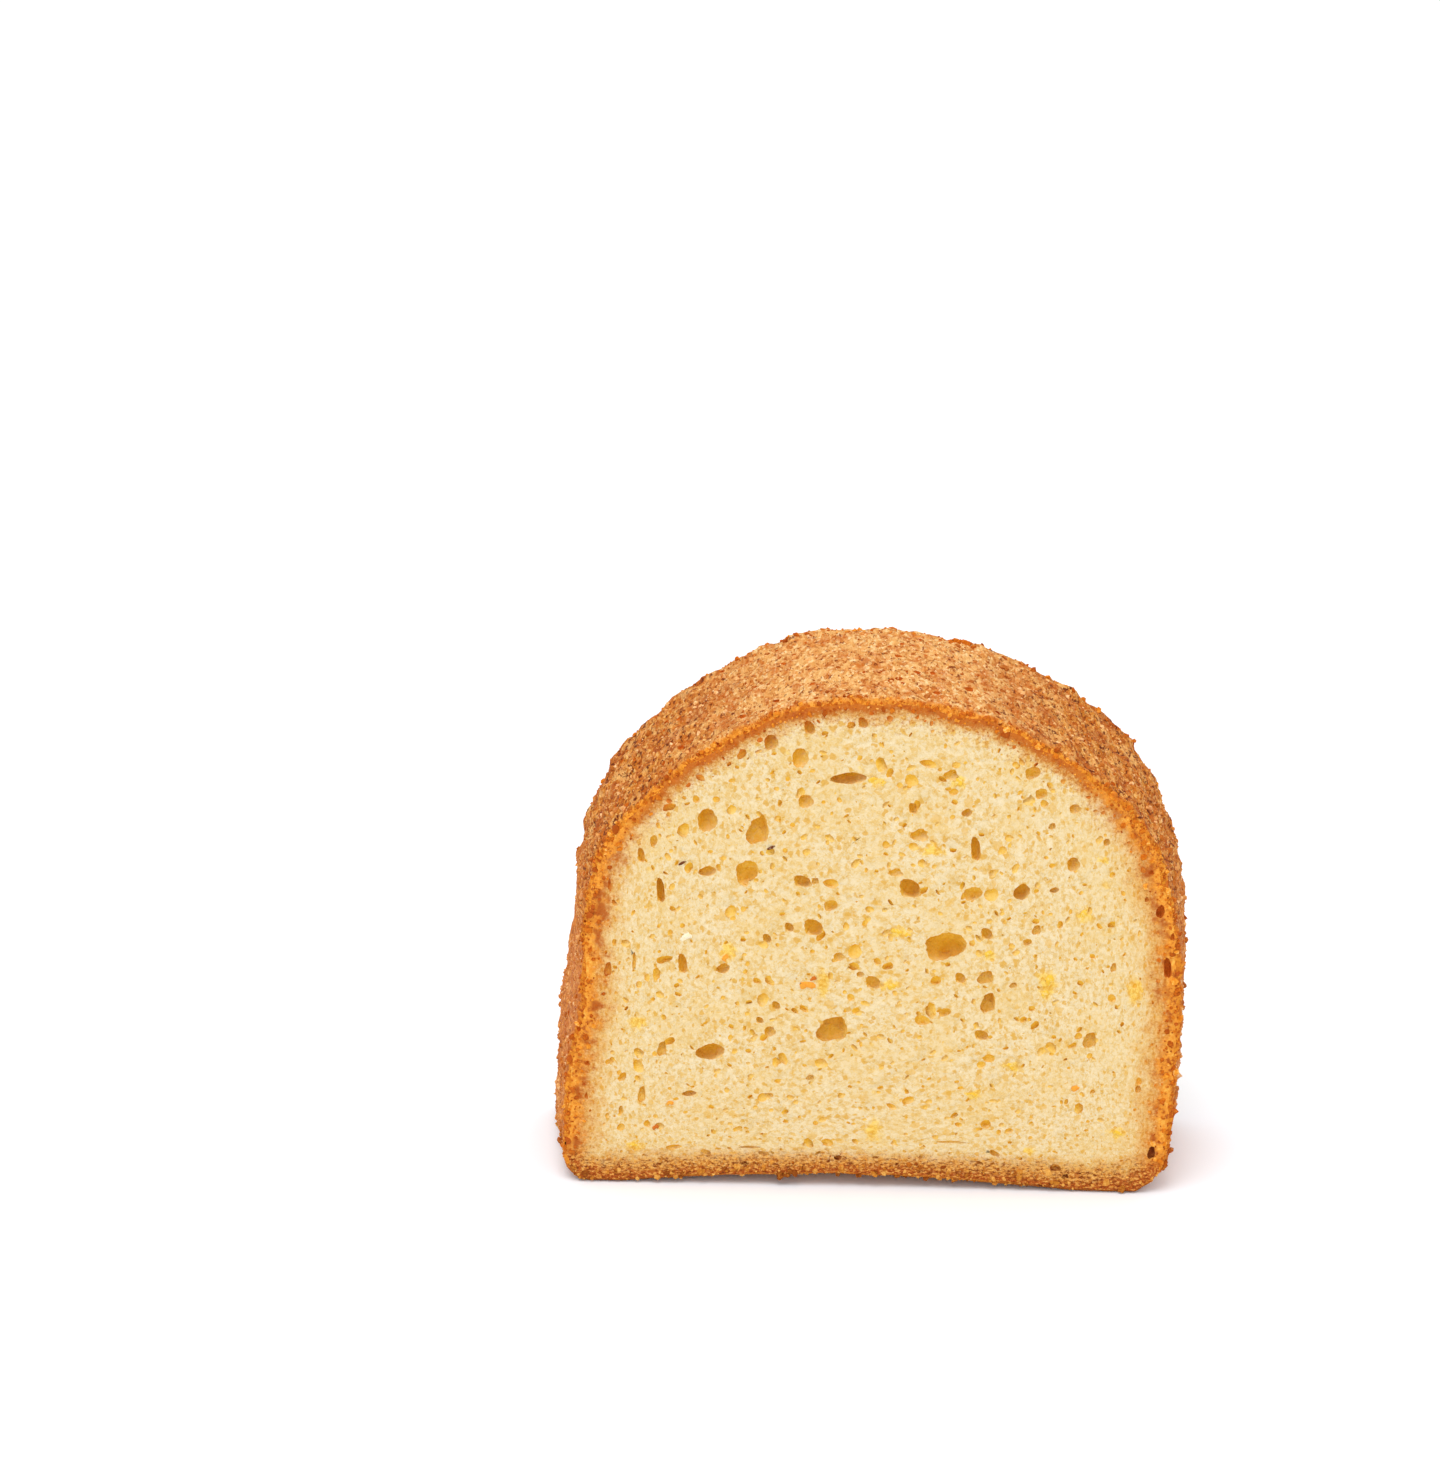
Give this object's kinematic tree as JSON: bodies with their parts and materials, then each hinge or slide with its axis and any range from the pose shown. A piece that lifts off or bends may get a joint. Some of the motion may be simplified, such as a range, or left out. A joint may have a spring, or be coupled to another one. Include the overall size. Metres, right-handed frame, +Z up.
{
  "type": "slice of fruit cake",
  "caption": "Domed slice of pale loaf cake with browned crust all round, an airy cut face on each side and a slightly hollow base; stands on its base.",
  "frame": {"origin": "under the middle of the slice, on the plane that its baked base stands on", "axes": "+X to the right across the loaf, seen from the front cut; +Y from the front cut to the back cut; +Z up to the dome"},
  "size_m": [0.1044, 0.03, 0.087],
  "materials": {
    "cake": "matte baked cake: pale golden crumb on the cuts, caramel-brown crust round the outside"
  },
  "bodies": {
    "root": {"cake_slice": "cake"}
  },
  "joints": []
}
